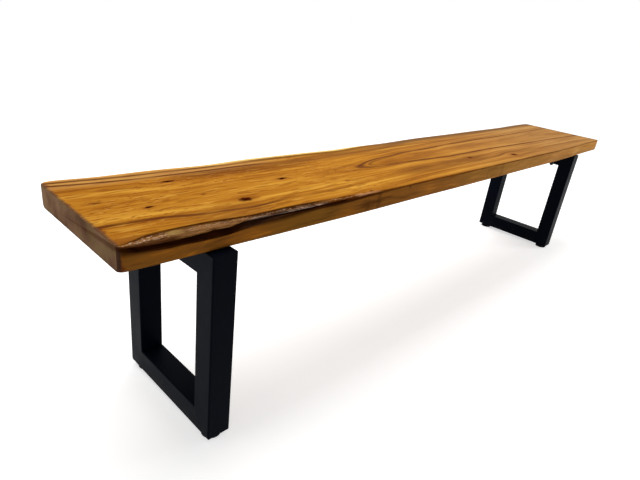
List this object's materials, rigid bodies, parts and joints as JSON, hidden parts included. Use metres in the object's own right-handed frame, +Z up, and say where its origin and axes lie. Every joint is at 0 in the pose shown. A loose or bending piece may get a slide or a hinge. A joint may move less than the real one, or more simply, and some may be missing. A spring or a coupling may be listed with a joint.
{
  "type": "live-edge bench",
  "caption": "Backless bench: a long live-edge hardwood slab on closed square-tube leg frames with levelling feet.",
  "frame": {"origin": "on the floor, under the middle of the bench's bounding box", "axes": "+X along the bench to the end with the plain arris, +Y to the back, +Z up"},
  "size_m": [2.09, 0.3422, 0.45],
  "materials": {
    "oiled_hardwood": "satin oil",
    "black_steel": "satin powder coat",
    "blackened_steel": "black oxide",
    "zinc_steel": "zinc plated",
    "black_nylon": "matt"
  },
  "bodies": {
    "bench": {"seat_slab": "oiled_hardwood", "left_front_post": "black_steel", "left_rear_post": "black_steel", "left_bottom_rail": "black_steel", "left_top_rail": "black_steel", "left_bolts": "blackened_steel", "left_washers": "blackened_steel", "left_inserts": "zinc_steel", "left_front_foot_nut": "zinc_steel", "left_rear_foot_nut": "zinc_steel", "right_front_post": "black_steel", "right_rear_post": "black_steel", "right_bottom_rail": "black_steel", "right_top_rail": "black_steel", "right_bolts": "blackened_steel", "right_washers": "blackened_steel", "right_inserts": "zinc_steel", "right_front_foot_nut": "zinc_steel", "right_rear_foot_nut": "zinc_steel"},
    "left_front_foot": {"left_front_foot_base": "black_nylon", "left_front_foot_stud": "zinc_steel"},
    "left_rear_foot": {"left_rear_foot_base": "black_nylon", "left_rear_foot_stud": "zinc_steel"},
    "right_front_foot": {"right_front_foot_base": "black_nylon", "right_front_foot_stud": "zinc_steel"},
    "right_rear_foot": {"right_rear_foot_base": "black_nylon", "right_rear_foot_stud": "zinc_steel"}
  },
  "joints": [
    {"name": "left_front_foot_screw", "type": "slide", "parent": "bench", "child": "left_front_foot", "axis": [0, 0, -1], "range_m": [-0.0015, 0.012]},
    {"name": "left_rear_foot_screw", "type": "slide", "parent": "bench", "child": "left_rear_foot", "axis": [0, 0, -1], "range_m": [-0.0015, 0.012]},
    {"name": "right_front_foot_screw", "type": "slide", "parent": "bench", "child": "right_front_foot", "axis": [0, 0, -1], "range_m": [-0.0015, 0.012]},
    {"name": "right_rear_foot_screw", "type": "slide", "parent": "bench", "child": "right_rear_foot", "axis": [0, 0, -1], "range_m": [-0.0015, 0.012]}
  ]
}
